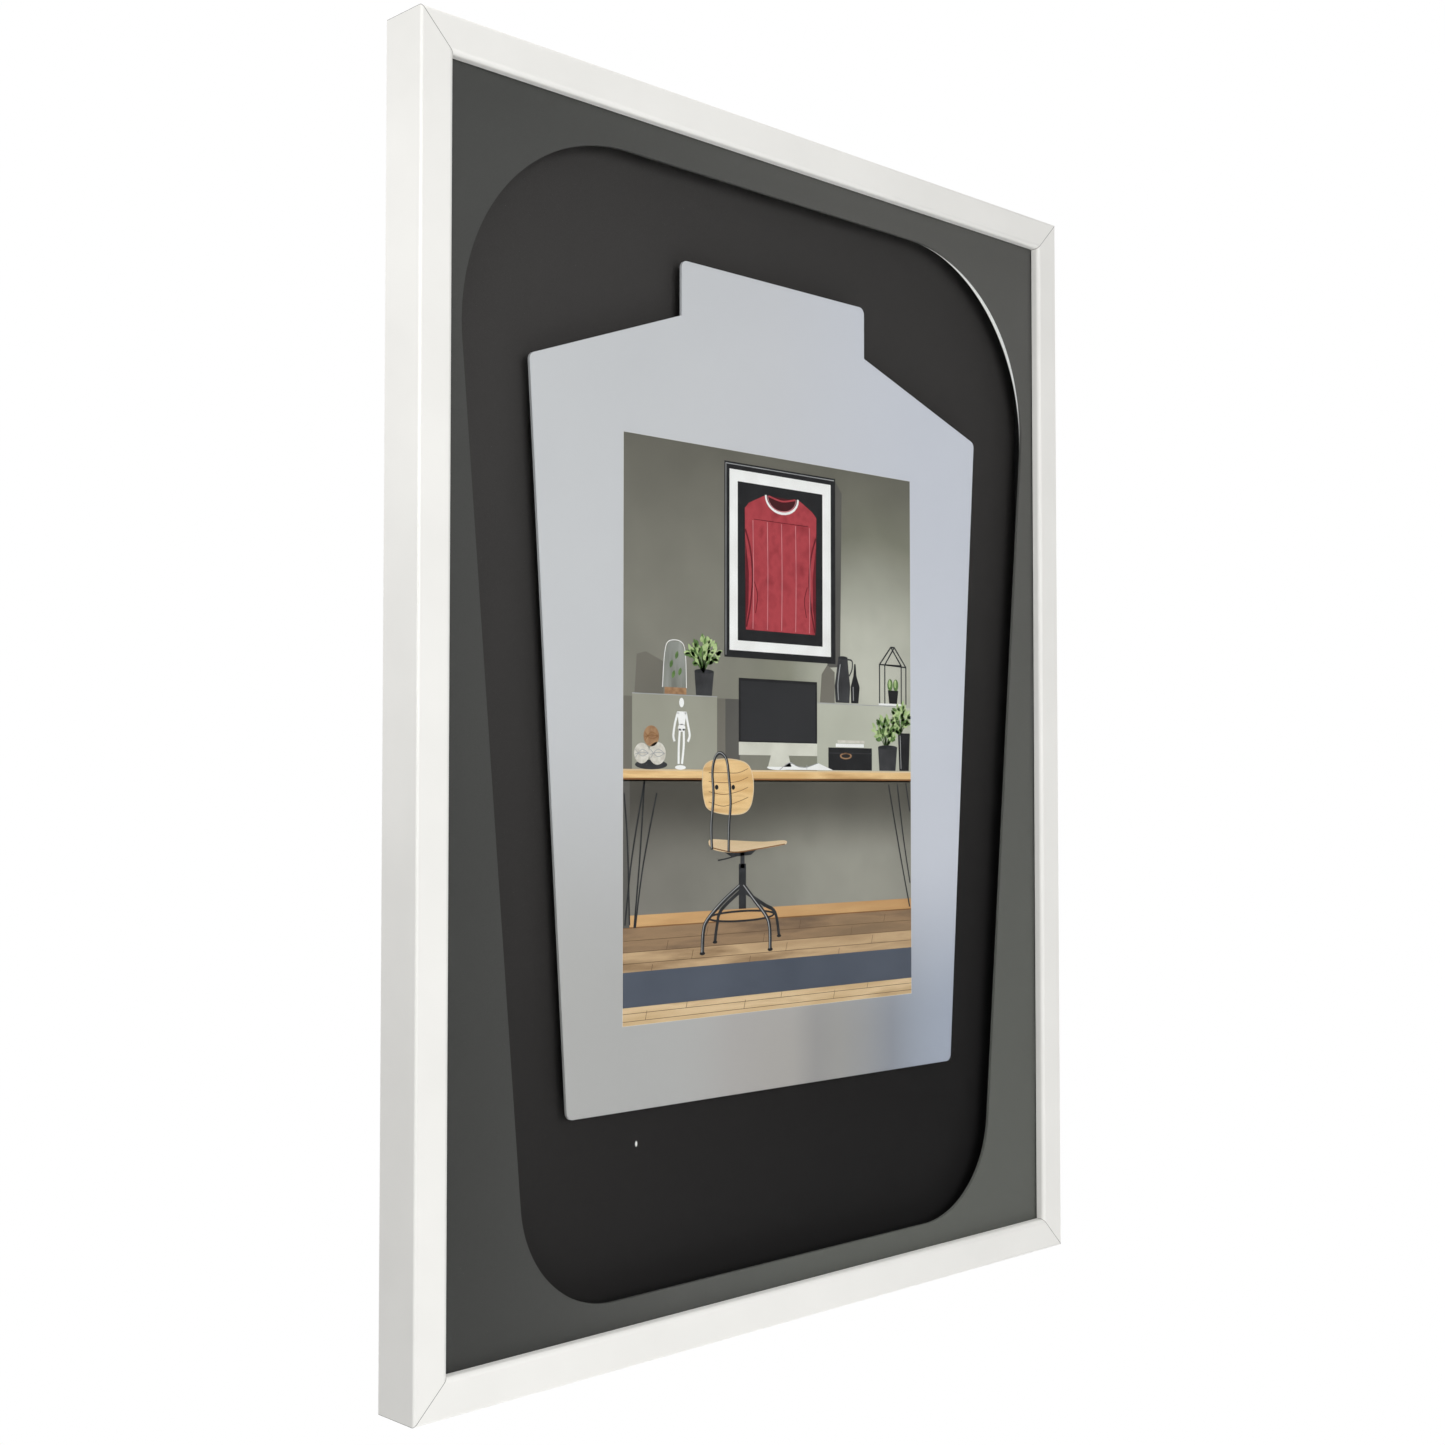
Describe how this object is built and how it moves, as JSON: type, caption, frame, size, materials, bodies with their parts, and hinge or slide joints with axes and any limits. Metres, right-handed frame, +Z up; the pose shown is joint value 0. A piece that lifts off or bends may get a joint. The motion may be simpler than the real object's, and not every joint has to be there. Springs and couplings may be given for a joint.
{
  "type": "jersey display frame",
  "caption": "Mitred box frame that shows a folded sports shirt on a flat former behind clear glazing and a tapered mount.",
  "frame": {"origin": "on the wall plane, where the bumpers touch it, behind the middle of the frame", "axes": "+X to the right seen from the front, +Z up, the front of the frame faces -Y"},
  "size_m": [0.636, 0.041, 0.836],
  "materials": {
    "frame_white": "matt white paint film over medium-density fibreboard",
    "clear_glazing": "clear, polished styrene sheet",
    "grey_mount": "matt dark grey mount board with a white core",
    "black_board": "black card-faced spacer",
    "black_card": "matt black card with a fine tooth",
    "foam_pad": "black hook-and-loop foam pad",
    "white_board": "smooth pale display board",
    "print_paper": "satin printed picture",
    "packing_foam": "white packing foam",
    "backing_mdf": "bare medium-density fibreboard",
    "zinc_steel": "bright zinc plate",
    "nickel_steel": "nickel plate",
    "bumper_rubber": "matt rubber"
  },
  "bodies": {
    "frame": {"top_rail": "frame_white", "bottom_rail": "frame_white", "left_stile": "frame_white", "right_stile": "frame_white", "corner_v_nails": "zinc_steel", "glazing_sheet": "clear_glazing", "mount_board": "grey_mount", "spacer_top": "black_board", "spacer_bottom": "black_board", "spacer_left": "black_board", "spacer_right": "black_board", "inner_card": "black_card", "former_pads": "foam_pad", "shirt_former": "white_board", "printed_insert": "print_paper", "foam_pack": "packing_foam", "backing_board": "backing_mdf", "hanger_strap_left": "nickel_steel", "hanger_strap_right": "nickel_steel", "hanger_screws": "zinc_steel", "wall_bumpers": "bumper_rubber", "turn_button_screws": "zinc_steel"},
    "turn_button_top_left": {"turn_button_top_left": "zinc_steel"},
    "turn_button_top_right": {"turn_button_top_right": "zinc_steel"},
    "turn_button_bottom_left": {"turn_button_bottom_left": "zinc_steel"},
    "turn_button_bottom_right": {"turn_button_bottom_right": "zinc_steel"},
    "turn_button_left_upper": {"turn_button_left_upper": "zinc_steel"},
    "turn_button_left_middle": {"turn_button_left_middle": "zinc_steel"},
    "turn_button_left_lower": {"turn_button_left_lower": "zinc_steel"},
    "turn_button_right_upper": {"turn_button_right_upper": "zinc_steel"},
    "turn_button_right_middle": {"turn_button_right_middle": "zinc_steel"},
    "turn_button_right_lower": {"turn_button_right_lower": "zinc_steel"},
    "d_ring_left": {"d_ring_left": "nickel_steel"},
    "d_ring_right": {"d_ring_right": "nickel_steel"}
  },
  "joints": [
    {"name": "turn_button_top_left_swivel", "type": "hinge", "parent": "frame", "child": "turn_button_top_left", "pos_m": [-0.16, -0.0043, 0.4095], "axis": [0, 1, 0], "continuous": true},
    {"name": "turn_button_top_right_swivel", "type": "hinge", "parent": "frame", "child": "turn_button_top_right", "pos_m": [0.16, -0.0043, 0.4095], "axis": [0, 1, 0], "continuous": true},
    {"name": "turn_button_bottom_left_swivel", "type": "hinge", "parent": "frame", "child": "turn_button_bottom_left", "pos_m": [-0.16, -0.0043, -0.4095], "axis": [0, 1, 0], "continuous": true},
    {"name": "turn_button_bottom_right_swivel", "type": "hinge", "parent": "frame", "child": "turn_button_bottom_right", "pos_m": [0.16, -0.0043, -0.4095], "axis": [0, 1, 0], "continuous": true},
    {"name": "turn_button_left_upper_swivel", "type": "hinge", "parent": "frame", "child": "turn_button_left_upper", "pos_m": [-0.3095, -0.0043, 0.29], "axis": [0, 1, 0], "continuous": true},
    {"name": "turn_button_left_middle_swivel", "type": "hinge", "parent": "frame", "child": "turn_button_left_middle", "pos_m": [-0.3095, -0.0043, 0], "axis": [0, 1, 0], "continuous": true},
    {"name": "turn_button_left_lower_swivel", "type": "hinge", "parent": "frame", "child": "turn_button_left_lower", "pos_m": [-0.3095, -0.0043, -0.29], "axis": [0, 1, 0], "continuous": true},
    {"name": "turn_button_right_upper_swivel", "type": "hinge", "parent": "frame", "child": "turn_button_right_upper", "pos_m": [0.3095, -0.0043, 0.29], "axis": [0, 1, 0], "continuous": true},
    {"name": "turn_button_right_middle_swivel", "type": "hinge", "parent": "frame", "child": "turn_button_right_middle", "pos_m": [0.3095, -0.0043, 0], "axis": [0, 1, 0], "continuous": true},
    {"name": "turn_button_right_lower_swivel", "type": "hinge", "parent": "frame", "child": "turn_button_right_lower", "pos_m": [0.3095, -0.0043, -0.29], "axis": [0, 1, 0], "continuous": true},
    {"name": "d_ring_left_hinge", "type": "hinge", "parent": "frame", "child": "d_ring_left", "pos_m": [-0.30625, -0.0029, 0.195], "axis": [1, 0, 0], "range_deg": [0, 180]},
    {"name": "d_ring_right_hinge", "type": "hinge", "parent": "frame", "child": "d_ring_right", "pos_m": [0.30625, -0.0029, 0.195], "axis": [1, 0, 0], "range_deg": [0, 180]}
  ]
}
